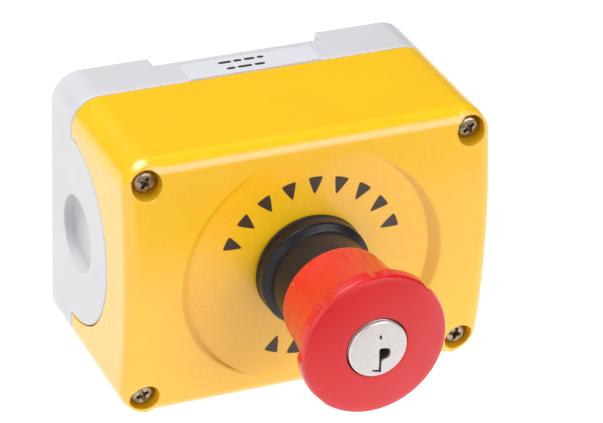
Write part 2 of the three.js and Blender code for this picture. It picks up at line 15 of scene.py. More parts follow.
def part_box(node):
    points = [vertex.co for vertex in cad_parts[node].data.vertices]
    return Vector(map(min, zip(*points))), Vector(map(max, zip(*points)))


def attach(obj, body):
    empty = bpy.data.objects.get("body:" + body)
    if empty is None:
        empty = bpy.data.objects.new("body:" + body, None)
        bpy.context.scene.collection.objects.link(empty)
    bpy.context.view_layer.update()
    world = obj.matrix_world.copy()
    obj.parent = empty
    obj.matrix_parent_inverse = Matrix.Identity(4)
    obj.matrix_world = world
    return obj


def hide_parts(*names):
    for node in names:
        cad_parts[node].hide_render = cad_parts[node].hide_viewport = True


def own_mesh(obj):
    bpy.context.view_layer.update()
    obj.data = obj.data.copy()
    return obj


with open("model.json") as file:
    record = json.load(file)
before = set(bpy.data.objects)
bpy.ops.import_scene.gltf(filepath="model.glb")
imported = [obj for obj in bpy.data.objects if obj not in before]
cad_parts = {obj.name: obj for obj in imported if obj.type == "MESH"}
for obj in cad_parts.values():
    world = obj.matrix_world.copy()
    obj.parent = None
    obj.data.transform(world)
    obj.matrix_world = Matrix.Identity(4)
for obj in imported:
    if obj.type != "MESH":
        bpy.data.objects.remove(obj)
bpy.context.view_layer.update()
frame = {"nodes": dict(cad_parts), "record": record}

MM = 0.001
DRAFT = 1


def box_mm(node):
    low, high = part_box(node)
    return np.array(low) / MM, np.array(high) / MM


# ---------------------------------------------------------------- sizes, in millimetres

BASE_LOW = box_mm("base")[0]
COVER_LOW, COVER_HIGH = box_mm("cover")
HALF_W = COVER_HIGH[0]
HALF_H = COVER_HIGH[2]
FRONT_Y = COVER_LOW[1]
COVER_RIM_Y = COVER_HIGH[1]
CORNER_R = 8.0
FRONT_CURVE_R = 170.0
FRONT_FILLET = 3.8
COVER_WALL = 2.4
PANEL_REAR_Y = FRONT_Y + 5.4
FIELD_Y = FRONT_Y + 2.6
FIELD_R = 33.3

BASE_RIM_Y = COVER_RIM_Y + 0.25
BASE_WALL = 4.4
BASE_FLOOR = 2.6
BULGE_R = 25.95
BULGE_Y = BASE_LOW[1] + BULGE_R
BULGE_GAP = 0.25
SCALLOP_REACH = 5.0
ENTRY_R = 10.25
ENTRY_Y = -20.4
ENTRY_DEPTH = 3.1
NOTCH_HALF = 23.6
NOTCH_DEPTH = 4.5
NOTCH_Z = HALF_H - 3.0
GROOVE_OUT, GROOVE_IN, GROOVE_DEPTH, GROOVE_END_Z = 1.3, 3.1, 1.5, 26.6
WALL_SLOT_X, WALL_SLOT_Z, WALL_SLOT_R, WALL_SLOT_STRAIGHT = 33.0, 22.0, 2.3, 4.6

SCREW_LOW, SCREW_HIGH = box_mm("cover_screw_4")
SCREW_X = (SCREW_LOW[0] + SCREW_HIGH[0]) / 2
SCREW_Z = (SCREW_LOW[2] + SCREW_HIGH[2]) / 2
SCREW_HEAD_R = (SCREW_HIGH[0] - SCREW_LOW[0]) / 2
SCREW_HEAD_H = 2.6
SCREW_SEAT_Y = SCREW_LOW[1] + SCREW_HEAD_H
SCREW_SHANK_R = 1.75
POCKET_R = 3.9
POCKET_Y = SCREW_SEAT_Y + 0.2
BOSS_R, BOSS_INSET, BOSS_END_Y = 5.4, 0.6, -24.0
POST_R, POST_INSET, POST_END_Y = 3.3, 2.75, -23.6
PILOT_R, PILOT_END_Y = 2.0, -7.0
THROUGH_R = 2.1

PANEL_HOLE_R, PANEL_HOLE_END_Y = 11.3, -40.0
BEZEL_R = box_mm("actuator_body")[1][0]


# ---------------------------------------------------------------- distance fields

def both(a, b, r):
    """Where a and b overlap, with an edge of radius r."""
    return np.minimum(-r, np.maximum(a, b)) + np.hypot(np.maximum(a + r, 0), np.maximum(b + r, 0))


def either(a, b, r):
    """Where a or b is, with an inner corner of radius r."""
    return -both(-a, -b, r)


def without(a, b, r):
    """What is left of a once b is cut away, with an edge of radius r."""
    return both(a, -b, r)


def rounded_rect(u, v, half_u, half_v, r):
    du = np.abs(u) - (half_u - r)
    dv = np.abs(v) - (half_v - r)
    return np.minimum(np.maximum(du, dv), 0) + np.hypot(np.maximum(du, 0), np.maximum(dv, 0)) - r


def between(value, low, high):
    return np.maximum(low - value, value - high)


def cover_field(x, y, z):
    side = rounded_rect(x, z, HALF_W, HALF_H, CORNER_R)
    slope = z / FRONT_CURVE_R
    front = (FRONT_Y + z * slope / 2 - y) / np.sqrt(1 + slope**2)
    outside = both(side, front, FRONT_FILLET)
    body = both(outside, y - COVER_RIM_Y, 0.45)
    hollow = both(side + COVER_WALL, PANEL_REAR_Y - y, 1.0)
    body = without(body, hollow, 0.4)
    to_screw = np.hypot(np.abs(x) - SCREW_X, np.abs(z) - SCREW_Z)
    boss = np.maximum(to_screw - BOSS_R, side + BOSS_INSET)
    boss = both(boss, between(y, PANEL_REAR_Y - 1, BOSS_END_Y), 0.3)
    body = either(body, boss, 0.5)
    radius = np.hypot(x, z)
    dish = both(y - FIELD_Y, (radius - FIELD_R + y - FIELD_Y) / math.sqrt(2), 0.15)
    body = without(body, dish, 0.3)
    body = without(body, np.maximum(to_screw - POCKET_R, y - POCKET_Y), 0.2)
    body = without(body, to_screw - THROUGH_R, 0.25)
    scallop = np.hypot(y - BULGE_Y, z) - BULGE_R - BULGE_GAP
    scallop = np.maximum(scallop, HALF_W - SCALLOP_REACH - np.abs(x))
    body = without(body, scallop, 0.45)
    return without(body, np.maximum(radius - PANEL_HOLE_R, y - PANEL_HOLE_END_Y), 0.3)


def base_field(x, y, z):
    side = rounded_rect(x, z, HALF_W, HALF_H, CORNER_R)
    body = both(side, y, 0.8)
    disc = both(np.hypot(y - BULGE_Y, z) - BULGE_R, HALF_W - BASE_WALL - np.abs(x), 0.4)
    body = both(body, either(BASE_RIM_Y - y, disc, 0.3), 0.45)
    hollow = both(side + BASE_WALL, y + BASE_FLOOR, 0.8)
    body = without(body, hollow, 0.35)
    to_screw = np.hypot(np.abs(x) - SCREW_X, np.abs(z) - SCREW_Z)
    post = np.maximum(to_screw - POST_R, side + POST_INSET)
    post = both(post, between(y, POST_END_Y, -BASE_FLOOR + 0.5), 0.3)
    body = either(body, post, 0.4)
    rail = np.maximum(side + GROOVE_OUT, -side - GROOVE_IN)
    rail = np.maximum(rail, np.maximum(GROOVE_END_Z - np.abs(z), POST_R - to_screw))
    body = without(body, np.maximum(rail, y - BASE_RIM_Y - GROOVE_DEPTH), 0.15)
    body = without(body, np.maximum(to_screw - PILOT_R, y - PILOT_END_Y), 0.25)
    entry = np.maximum(np.hypot(y - ENTRY_Y, z) - ENTRY_R, HALF_W - ENTRY_DEPTH - np.abs(x))
    body = without(body, entry, 0.35)
    notch = np.maximum(np.abs(x) - NOTCH_HALF, np.maximum(-NOTCH_DEPTH - y, NOTCH_Z - z))
    body = without(body, notch, 0.45)
    along = np.maximum(np.abs(np.abs(x) - WALL_SLOT_X) - WALL_SLOT_STRAIGHT / 2, 0)
    return without(body, np.hypot(along, np.abs(z) - WALL_SLOT_Z) - WALL_SLOT_R, 0.3)


SCREW_LENGTH = 38.0
CROWN_CENTRE_Y = 6.4
CROSS_HALF_WIDTH, CROSS_HALF_LENGTH, CROSS_MIDDLE_R, CROSS_DEPTH = 0.46, 1.85, 0.95, 1.7


def screw_field(x, y, z):
    """A crowned pan head with a cross recess; the seat is at y = 0 and the head is towards -Y."""
    radius = np.hypot(x, z)
    crown = np.sqrt(radius**2 + (y - CROWN_CENTRE_Y) ** 2) - CROWN_CENTRE_Y - SCREW_HEAD_H
    head = both(both(radius - SCREW_HEAD_R, crown, 1.05), y, 0.12)
    shank = both(radius - SCREW_SHANK_R, between(y, -0.5, SCREW_LENGTH), 0.6)
    body = either(head, shank, 0.2)
    depth = np.clip(y + SCREW_HEAD_H, 0, 3)
    wide, long = CROSS_HALF_WIDTH - 0.1 * depth, CROSS_HALF_LENGTH - 0.55 * depth
    one = np.maximum(np.abs(x) - wide, np.abs(z) - long)
    other = np.maximum(np.abs(x) - long, np.abs(z) - wide)
    middle = radius - CROSS_MIDDLE_R + 0.3 * depth
    cross = either(either(one, other, 0.1), middle, 0.1)
    return without(body, both(cross, y + SCREW_HEAD_H - CROSS_DEPTH, 0.1), 0.12)


LOCK_LOW, LOCK_HIGH = box_mm("lock_plug")
LOCK_R = LOCK_HIGH[0]
LOCK_FACE_Y = LOCK_LOW[1]
CAP_BACK_Y = LOCK_FACE_Y + 0.9
PLUG_R, PLUG_BORE_R = 6.9, 7.2
LOCK_BEVEL = 0.4

# The keyhole: a shallow round spot and strip in the face, a deep lobe, and a narrow slot to KEY_SLOT_END_Y.
SPOT_X, SPOT_Z, SPOT_R, SPOT_DEPTH = 1.2, 0.2, 1.9, 0.22
STRIP_DEPTH = 0.15
LOBE_DEPTH = 4.0
KEY_SLOT_END_Y = -84.0


def key_lobe(x, z):
    """The wide part of the keyhole, right of the slot: flat on top, round, and running down to a point."""
    top = (z - 0.1 + 0.2 * (x - 0.4)) / math.hypot(1, 0.2)
    round_part = both(both(np.hypot(x - 1.6, z + 1.5) - 1.7, 0.4 - x, 0.2), top, 0.4)
    lower_right = 0.748 * x - 0.665 * z - 3.2
    tail = both(both(0.5 - x, lower_right, 0.2), z + 1.5, 0.2)
    return either(round_part, tail, 0.3)


def lock_plug_field(x, y, z):
    radius = np.hypot(x, z)
    rim = (radius - LOCK_R + LOCK_BEVEL + LOCK_FACE_Y - y) / math.sqrt(2)
    cap = both(both(radius - LOCK_R, rim, 0.08), between(y, LOCK_FACE_Y, CAP_BACK_Y), 0.06)
    plug = both(radius - PLUG_R, between(y, CAP_BACK_Y - 0.3, LOCK_HIGH[1]), 0.3)
    body = either(cap, plug, 0.1)
    spot = both(np.hypot(x - SPOT_X, z - SPOT_Z) - SPOT_R, y - LOCK_FACE_Y - SPOT_DEPTH, 0.12)
    strip = both(rounded_rect(x - 0.3, z + 1.35, 0.75, 5.2, 0.1), y - LOCK_FACE_Y - STRIP_DEPTH, 0.08)
    lobe = both(key_lobe(x, z), y - LOCK_FACE_Y - LOBE_DEPTH, 0.3)
    body = without(body, np.minimum(np.minimum(spot, strip), lobe), 0.12)
    slot = rounded_rect(x - 0.72, z + 4.6, 0.27, 2.2, 0.1)
    top = rounded_rect(x - 0.55, z - 3.2, 0.3, 0.6, 0.15)
    foot = rounded_rect(x + 0.3, z + 6.3 + 0.3 * x, 1.1, 0.28, 0.1)
    way = np.minimum(np.minimum(slot, top), foot)
    return without(body, np.maximum(way, y - KEY_SLOT_END_Y), 0.08)


ACTUATOR_Y = {"sleeve": -41.6, "bezel": -57.4, "edge": -60.5, "front": -62.0, "tube": -79.0}
TUBE_R, TUBE_BORE_R, SLEEVE_R, SLEEVE_BORE_R = 13.1, 10.8, 11.0, 9.3
WEB_FRONT_Y, WEB_BACK_Y, STEM_HOLE_R = -60.0, -49.0, 4.5
LATCH_Y, LATCH_HOLE_R = -54.5, 1.5


def actuator_field(x, y, z):
    radius = np.hypot(x, z)
    sleeve = both(radius - SLEEVE_R, between(y, ACTUATOR_Y["bezel"] - 1, ACTUATOR_Y["sleeve"]), 0.4)
    bezel = both(radius - BEZEL_R, between(y, ACTUATOR_Y["front"], ACTUATOR_Y["bezel"]), 0.25)
    slant = (BEZEL_R - TUBE_R) / (ACTUATOR_Y["edge"] - ACTUATOR_Y["front"])
    bevel = (radius - BEZEL_R - (y - ACTUATOR_Y["edge"]) * slant) / math.hypot(1, slant)
    bezel = both(bezel, bevel, 0.3)
    tube = both(radius - TUBE_R, between(y, ACTUATOR_Y["tube"], ACTUATOR_Y["bezel"]), 0.3)
    body = either(either(bezel, sleeve, 0.1), tube, 0.12)
    body = without(body, both(radius - TUBE_BORE_R, y - WEB_FRONT_Y, 0.3), 0.3)
    body = without(body, both(radius - SLEEVE_BORE_R, WEB_BACK_Y - y, 0.3), 0.3)
    body = without(body, radius - STEM_HOLE_R, 0.3)
    return without(body, np.hypot(x, y - LATCH_Y) - LATCH_HOLE_R, 0.2)


# ---------------------------------------------------------------- meshes

PROBE = 0.05  # the step used to measure a field's slope, as a share of a cell


def slopes(field, points, step):
    """The field's gradient at each point."""
    found = np.empty_like(points)
    for axis in range(3):
        ahead, behind = points.copy(), points.copy()
        ahead[:, axis] += step
        behind[:, axis] -= step
        found[:, axis] = field(*ahead.T) - field(*behind.T)
    return found / (2 * step)


def settle(field, points, cell, rounds=3):
    """Moves points that are near the surface onto it."""
    for _ in range(rounds):
        slope = slopes(field, points, cell * PROBE)
        along = field(*points.T) / np.maximum((slope**2).sum(1), 0.05)
        move = np.clip(along[:, None] * slope, -cell, cell)
        points = points - move
    return points


def unit(vectors):
    return vectors / np.maximum(np.linalg.norm(vectors, axis=1, keepdims=True), 1e-9)


def net_of(values, axes):
    """The surface net of a sampled field: one point in each mixed cell, one face across each crossed edge."""
    inside = values < 0
    full = np.array(values.shape) - 1
    window = [inside[i : i + full[0], j : j + full[1], k : k + full[2]] for i, j, k in np.ndindex(2, 2, 2)]
    count = np.sum(window, axis=0, dtype=np.int8)
    cells = np.argwhere((count > 0) & (count < 8))
    number = np.full(full, -1, np.int32)
    number[tuple(cells.T)] = np.arange(len(cells))
    total, hits = np.zeros((len(cells), 3)), np.zeros(len(cells))
    for axis in range(3):
        for side in np.ndindex(2, 2):
            start = cells + np.insert(np.array(side), axis, 0)
            end = start + np.eye(3, dtype=int)[axis]
            a, b = values[tuple(start.T)], values[tuple(end.T)]
            crossed = (a < 0) != (b < 0)
            share = np.where(crossed, a / np.where(crossed, a - b, 1), 0)
            place = start.astype(float)
            place[:, axis] += share
            total += place * crossed[:, None]
            hits += crossed
    origin = np.array([a[0] for a in axes])
    points = origin + total / hits[:, None] * (axes[0][1] - axes[0][0])
    faces = []
    for axis in range(3):
        u, v = (axis + 1) % 3, (axis + 2) % 3
        low = np.take(inside, range(full[axis]), axis)
        high = np.take(inside, range(1, full[axis] + 1), axis)
        edges = np.argwhere(low != high)
        keep = (edges[:, u] > 0) & (edges[:, v] > 0) & (edges[:, u] < full[u]) & (edges[:, v] < full[v])
        edges = edges[keep]
        corners = []
        for du, dv in ((1, 1), (0, 1), (0, 0), (1, 0)):
            cell = edges.copy()
            cell[:, u] -= du
            cell[:, v] -= dv
            corners.append(number[tuple(cell.T)])
        quads = np.stack(corners, 1)
        outward = low[tuple(edges.T)]
        faces.append(np.where(outward[:, None], quads, quads[:, ::-1]))
    return cells, points, np.concatenate(faces)


def merge_flats(cells, normals, faces, levels, spread):
    """For each point, the number of the block it joins: the largest over which the surface hardly bends."""
    corner_normals = normals[faces]
    middle = unit(corner_normals.sum(1))
    bend = (corner_normals * middle[:, None]).sum(2).min(1)
    bent = np.zeros(len(cells), bool)
    bent[faces[bend < spread].ravel()] = True
    leaf = np.arange(len(cells))
    for level in range(1, levels + 1):
        blocks = cells >> level
        size = blocks.max(0) + 1
        key = (blocks[:, 0] * size[1] + blocks[:, 1]) * size[2] + blocks[:, 2]
        _, block = np.unique(key, return_inverse=True)
        total = np.stack([np.bincount(block, normals[:, k]) for k in range(3)], 1)
        cosine = (normals * unit(total)[block]).sum(1)
        cosine[bent] = -1
        least = np.ones(len(total))
        np.minimum.at(least, block, cosine)
        flat = least[block] > spread
        leaf[flat] = len(cells) * level + block[flat]
    return np.unique(leaf, return_inverse=True)[1]


def surface(field, low, high, cell, levels=3, spread=1.2):
    """Points in millimetres, normals and faces of the surface where the field is zero."""
    cell = cell * DRAFT
    low = np.array(low, float) - 1.5 * cell
    count = np.ceil((np.array(high, float) + 1.5 * cell - low) / cell).astype(int)
    axes = [low[k] + cell * np.arange(count[k] + 1) for k in range(3)]
    y, z = np.meshgrid(axes[1], axes[2], indexing="ij")
    values = np.stack([field(x, y, z) for x in axes[0]])
    cells, points, faces = net_of(values, axes)
    points = settle(field, points, cell)
    normals = unit(slopes(field, points, cell * PROBE))
    leaf = merge_flats(cells, normals, faces, levels, math.cos(math.radians(spread)))
    size = np.bincount(leaf)
    points = np.stack([np.bincount(leaf, points[:, k]) for k in range(3)], 1) / size[:, None]
    points = settle(field, points, cell)
    faces = leaf[faces]
    rings = []
    for face in np.unique(faces, axis=0).tolist():
        ring = [v for i, v in enumerate(face) if v != face[i - 1]]
        if len(ring) > 2 and len(set(ring)) == len(ring):
            rings.append(ring)
    return points, unit(slopes(field, points, cell * PROBE)), rings


def new_piece(name, points, faces, body, look, normals=None):
    """A mesh object from points in millimetres, riding on a body; its faces are flat if it has no normals."""
    mesh = bpy.data.meshes.new(name)
    mesh.from_pydata((np.asarray(points) * MM).tolist(), [], faces)
    mesh.validate()
    mesh.polygons.foreach_set("use_smooth", [normals is not None] * len(mesh.polygons))
    if normals is not None:
        mesh.normals_split_custom_set_from_vertices(normals.tolist())
    piece = bpy.data.objects.new(name, mesh)
    bpy.context.scene.collection.objects.link(piece)
    mesh.materials.append(look)
    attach(piece, body)
    return piece


def weighted_normals(points, faces):
    """Vertex normals in which large faces count for more, so that flats stay flat beside small edges."""
    points = np.asarray(points, float)
    quads = np.array([list(f) + [f[-1]] * (4 - len(f)) for f in faces])
    a, b, c, d = (points[quads[:, k]] for k in range(4))
    area = np.cross(c - a, d - b)
    total = np.zeros_like(points)
    for k in range(4):
        np.add.at(total, quads[:, k], area)
    return unit(total)


def cut_corners(path, rounds=3, closed=True):
    """Rounds a path by cutting its corners, a quarter of each side at a time."""
    path = np.array(path, float)
    for _ in range(rounds):
        ahead = np.roll(path, -1, 0)
        near, far = 0.75 * path + 0.25 * ahead, 0.25 * path + 0.75 * ahead
        if not closed:
            near, far = near[:-1], far[:-1]
        path = np.stack([near, far], 1).reshape(-1, path.shape[1])
    return path


def eased(path, size):
    """A closed path with two points close to each corner, so that corner cutting rounds only that much."""
    path = np.array(path, float)
    out = []
    for i, corner in enumerate(path):
        for other in (path[i - 1], path[(i + 1) % len(path)]):
            span = np.linalg.norm(other - corner)
            out.append(corner + (other - corner) * min(size / span, 0.45))
    return np.array(out)


def rounded_outline(u0, u1, v0, v1, ease):
    return cut_corners(eased([(u0, v0), (u1, v0), (u1, v1), (u0, v1)], ease), 3)


def lathe(profile, sides):
    """A closed (radius, y) path turned about the Y axis."""
    profile = np.asarray(profile, float)
    signed = np.sum(profile[:, 0] * np.roll(profile[:, 1], -1) - np.roll(profile[:, 0], -1) * profile[:, 1])
    if signed > 0:
        profile = profile[::-1]
    angle = np.arange(sides) * 2 * math.pi / sides
    radius, y = profile[:, 0][:, None], profile[:, 1][:, None]
    points = np.stack([radius * np.cos(angle), y + 0 * angle, radius * np.sin(angle)], 2).reshape(-1, 3)
    rows, faces = len(profile), []
    for i in range(rows):
        j = (i + 1) % rows
        for k in range(sides):
            n = (k + 1) % sides
            faces.append((i * sides + k, i * sides + n, j * sides + n, j * sides + k))
    return points, faces


def plate(outline, thickness, bevel):
    """Points (u, v, height) and faces of a bevelled flat piece, from a counter-clockwise outline."""
    outline = np.array(outline, float)
    edge = np.roll(outline, -1, 0) - np.roll(outline, 1, 0)
    inward = unit(np.stack([-edge[:, 1], edge[:, 0]], 1))
    rings = [(0, 0), (0, thickness - bevel), (bevel, thickness)]
    layers = [np.c_[outline + inward * inset, np.full(len(outline), height)] for inset, height in rings]
    points = np.concatenate(layers)
    n = len(outline)
    faces = [tuple(range(n - 1, -1, -1)), tuple(range(2 * n, 3 * n))]
    for row in range(2):
        for k in range(n):
            m = (k + 1) % n
            faces.append((row * n + k, row * n + m, row * n + n + m, row * n + n + k))
    return points, faces


# ---------------------------------------------------------------- materials

def node(tree, kind, inputs=None, **settings):
    made = tree.nodes.new(kind)
    for key, value in settings.items():
        setattr(made, key, value)
    for key, value in (inputs or {}).items():
        if isinstance(value, bpy.types.NodeSocket):
            tree.links.new(value, made.inputs[key])
        else:
            made.inputs[key].default_value = value
    return made


def noise(tree, place, size_mm, detail=2.0, roughness=0.5):
    inputs = {"Vector": place, "Scale": 1 / (size_mm * MM), "Detail": detail, "Roughness": roughness}
    return node(tree, "ShaderNodeTexNoise", inputs).outputs["Fac"]


def bumped(tree, height, depth_mm, normal=None):
    inputs = {"Height": height, "Strength": 1.0, "Distance": depth_mm * MM}
    if normal is not None:
        inputs["Normal"] = normal
    return node(tree, "ShaderNodeBump", inputs).outputs["Normal"]


def maths(tree, operation, *values):
    return node(tree, "ShaderNodeMath", dict(enumerate(values)), operation=operation).outputs["Value"]


def ranged(tree, value, low, high, to_low, to_high):
    inputs = {"Value": value, "From Min": low, "From Max": high, "To Min": to_low, "To Max": to_high}
    return node(tree, "ShaderNodeMapRange", inputs).outputs["Result"]


def blended(tree, share, first, second):
    """The first colour where share is 0, the second where it is 1; Mix's colour sockets are 6, 7 and 2."""
    ends = [end if isinstance(end, bpy.types.NodeSocket) else (*end, 1) for end in (first, second)]
    made = node(tree, "ShaderNodeMix", {"Factor": share, 6: ends[0], 7: ends[1]}, data_type="RGBA")
    return made.outputs[2]


COAT_ROUGHNESS = 0.22


def new_look(name, metallic=0.0, coat=0.0, gloss=0.5, tint=(1, 1, 1)):
    """A material, its node tree, its shader and the place on the object; gloss and tint are specular."""
    look = bpy.data.materials.new(name)
    look.use_nodes = True
    tree = look.node_tree
    shader = tree.nodes["Principled BSDF"]
    shader.inputs["Metallic"].default_value = metallic
    shader.inputs["Coat Weight"].default_value = coat
    shader.inputs["Coat Roughness"].default_value = COAT_ROUGHNESS
    shader.inputs["Specular IOR Level"].default_value = gloss
    shader.inputs["Specular Tint"].default_value = (*tint, 1)
    place = node(tree, "ShaderNodeTexCoord").outputs["Object"]
    return look, tree, shader, place


def dust(tree, place, colour, speck, size_mm, amount):
    """Small specks on a colour, in a share of cells of the given size."""
    inputs = {"Vector": place, "Scale": 1 / (size_mm * MM), "Randomness": 1.0}
    cells = node(tree, "ShaderNodeTexVoronoi", inputs)
    near = ranged(tree, cells.outputs["Distance"], 0.05, 0.09, 1, 0)
    chosen = node(tree, "ShaderNodeSeparateColor", {"Color": cells.outputs["Color"]}).outputs["Red"]
    some = ranged(tree, chosen, amount, amount + 0.02, 1, 0)
    return blended(tree, maths(tree, "MULTIPLY", near, some), colour, speck)


FLOW_SIZE, RUBBED_SIZE, SINK_SIZE, SINK_DEPTH = 22, 7, 9, 0.015
SPECK_SIZE, SPECK_AMOUNT = 2.6, 0.12


def moulded(
        name, colour, shade, rough, grain_size=0.3, grain_depth=0.006, coat=0.0, speck=None, gloss=0.5,
        tint=(1, 1, 1)):
    """Injection-moulded plastic: slow drifts of colour, handling marks in the gloss and a fine grain."""
    look, tree, shader, place = new_look(name, coat=coat, gloss=gloss, tint=tint)
    drift = ranged(tree, noise(tree, place, FLOW_SIZE, 4), 0.35, 0.65, 0, 1)
    flow = blended(tree, drift, colour, shade)
    if speck:
        flow = dust(tree, place, flow, speck, SPECK_SIZE, SPECK_AMOUNT)
    tree.links.new(flow, shader.inputs["Base Color"])
    rubbed = ranged(tree, noise(tree, place, RUBBED_SIZE, 5, 0.6), 0.3, 0.7, rough[0], rough[1])
    tree.links.new(rubbed, shader.inputs["Roughness"])
    sunk = bumped(tree, noise(tree, place, SINK_SIZE, 1), SINK_DEPTH)
    grained = bumped(tree, noise(tree, place, grain_size, 3, 0.6), grain_depth, sunk)
    tree.links.new(grained, shader.inputs["Normal"])
    tree.links.new(grained, shader.inputs["Coat Normal"])
    return look


# The colour of the painted shade inside the keyhole.
PAINTED_SHADE_COLOUR = (0.17, 0.14, 0.135)


def painted_keyway_shade(tree, place, colour, front_y, reach):
    """Painted shade: turns a colour dark behind front_y, within a distance of the Y axis, both in
    millimetres, so that the keyhole's hollows look shadowed.
    """
    depth = node(tree, "ShaderNodeSeparateXYZ", {"Vector": place}).outputs["Y"]
    behind = ranged(tree, depth, front_y * MM, (front_y + 0.5) * MM, 0, 1)
    flat = node(tree, "ShaderNodeVectorMath", {0: place, 1: (1, 0, 1)}, operation="MULTIPLY").outputs[0]
    radius = node(tree, "ShaderNodeVectorMath", {0: flat}, operation="LENGTH").outputs["Value"]
    within = ranged(tree, radius, reach * MM, (reach + 0.1) * MM, 1, 0)
    return blended(tree, maths(tree, "MULTIPLY", behind, within), colour, PAINTED_SHADE_COLOUR)


PLATING_SIZE, SCRATCH_SIZE, SCRATCH_DEPTH = 1.6, 0.25, 0.003


def plated(name, colour, shade, rough, brushed=(1.0, 1.0, 1.0), metallic=1.0, hollow=None):
    """Metal: uneven plating, and fine scratches drawn out along the axes where brushed is small; where hollow
    is given, painted shade darkens the keyhole.
    """
    look, tree, shader, place = new_look(name, metallic=metallic)
    drift = ranged(tree, noise(tree, place, PLATING_SIZE, 4, 0.6), 0.35, 0.65, 0, 1)
    plating = blended(tree, drift, colour, shade)
    # Painted shade: the keyhole's hollows are darkened in the plating's colour.
    if hollow:
        plating = painted_keyway_shade(tree, place, plating, *hollow)
    tree.links.new(plating, shader.inputs["Base Color"])
    stretched = node(tree, "ShaderNodeMapping", {"Vector": place, "Scale": brushed}).outputs["Vector"]
    lines = noise(tree, stretched, SCRATCH_SIZE, 4, 0.7)
    tree.links.new(ranged(tree, lines, 0.3, 0.7, rough[0], rough[1]), shader.inputs["Roughness"])
    tree.links.new(bumped(tree, lines, SCRATCH_DEPTH), shader.inputs["Normal"])
    return look


LOOKS = {
    "cover_yellow": moulded(
        "yellow_plastic", colour=(0.97, 0.58, 0.006), shade=(0.96, 0.56, 0.008), rough=(0.24, 0.3),
        grain_depth=0.003, coat=0.28, gloss=0.95, tint=(1, 0.52, 1)),
    "base_grey": moulded(
        "grey_plastic", colour=(0.635, 0.635, 0.66), shade=(0.61, 0.61, 0.635), rough=(0.46, 0.58),
        grain_size=0.35, grain_depth=0.009, coat=0.5),
    "head_red": moulded(
        "red_plastic", colour=(0.71, 0.008, 0.013), shade=(0.67, 0.007, 0.011), rough=(0.33, 0.42),
        coat=0.55, speck=(0.8, 0.55, 0.5)),
    "black_plastic": moulded(
        "black_plastic", colour=(0.010, 0.010, 0.016), shade=(0.014, 0.013, 0.018), rough=(0.26, 0.36),
        grain_size=0.25, grain_depth=0.004, speck=(0.2, 0.2, 0.22), gloss=0.3),
    "block_grey": moulded(
        "block_plastic", colour=(0.50, 0.51, 0.53), shade=(0.46, 0.47, 0.49), rough=(0.5, 0.62)),
    "rubber": moulded(
        "black_rubber", colour=(0.014, 0.014, 0.015), shade=(0.02, 0.02, 0.02), rough=(0.6, 0.75),
        grain_size=0.2, grain_depth=0.012),
    "label_paper": moulded(
        "label_film", colour=(0.68, 0.68, 0.73), shade=(0.655, 0.655, 0.705), rough=(0.42, 0.5),
        grain_size=0.15, grain_depth=0.002),
    # The nickel gets painted shade inside its keyhole, from the hollow argument.
    "lock_chrome": plated(
        "nickel_plate", colour=(0.80, 0.755, 0.745), shade=(0.76, 0.715, 0.705), rough=(0.26, 0.38),
        brushed=(1, 1, 0.15), metallic=0.6, hollow=(LOCK_FACE_Y + 0.35, 7.05)),
    "zinc": plated("zinc_plate", colour=(0.50, 0.42, 0.32), shade=(0.22, 0.16, 0.10), rough=(0.2, 0.4)),
    "steel": plated("spring_steel", colour=(0.56, 0.57, 0.58), shade=(0.46, 0.46, 0.47), rough=(0.2, 0.34)),
    "brass": plated(
        "rolled_brass", colour=(0.70, 0.47, 0.17), shade=(0.60, 0.38, 0.12), rough=(0.22, 0.4),
        brushed=(0.2, 1, 1)),
}
PRINT = moulded(
    "printing_ink", colour=(0.045, 0.03, 0.022), shade=(0.055, 0.038, 0.028), rough=(0.4, 0.5),
    grain_size=0.15, grain_depth=0.003)

for part in frame["record"]["subparts"]:
    slots = frame["nodes"][part["node"]].data.materials
    slots.clear()
    slots.append(LOOKS[part["material_slot"]])


# ---------------------------------------------------------------- pieces

BOX_CELL, ACTUATOR_CELL, FINE_CELL = 0.42, 0.25, 0.13
HEAD_SIDES, RING_SIDES = 384, 192


def moulding(name, node_name, field, cell, body, slot_name):
    """The zero surface of a field, meshed over its CAD node's box with cells of a size in millimetres."""
    points, normals, faces = surface(field, *box_mm(node_name), cell)
    piece = new_piece(name, points, faces, body, LOOKS[slot_name], normals)
    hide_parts(node_name)


def make_screws():
    """Four cover screws with the same shape, each turned a little differently."""
    front, back = (-SCREW_HEAD_R, -SCREW_HEAD_H, -SCREW_HEAD_R), (SCREW_HEAD_R, SCREW_LENGTH, SCREW_HEAD_R)
    points, normals, faces = surface(screw_field, front, back, FINE_CELL)
    for number, turn in ((1, 20), (2, 58), (3, 76), (4, 33)):
        node_name = f"cover_screw_{number}"
        low, high = box_mm(node_name)
        c, s = math.cos(math.radians(turn)), math.sin(math.radians(turn))
        spin = np.array([[c, 0, -s], [0, 1, 0], [s, 0, c]])
        place = ((low[0] + high[0]) / 2, SCREW_SEAT_Y, (low[2] + high[2]) / 2)
        piece = new_piece(
            f"cover_screw_detailed_{number}", points @ spin.T + place, faces, "enclosure",
            LOOKS["zinc"], normals @ spin.T)
        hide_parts(node_name)


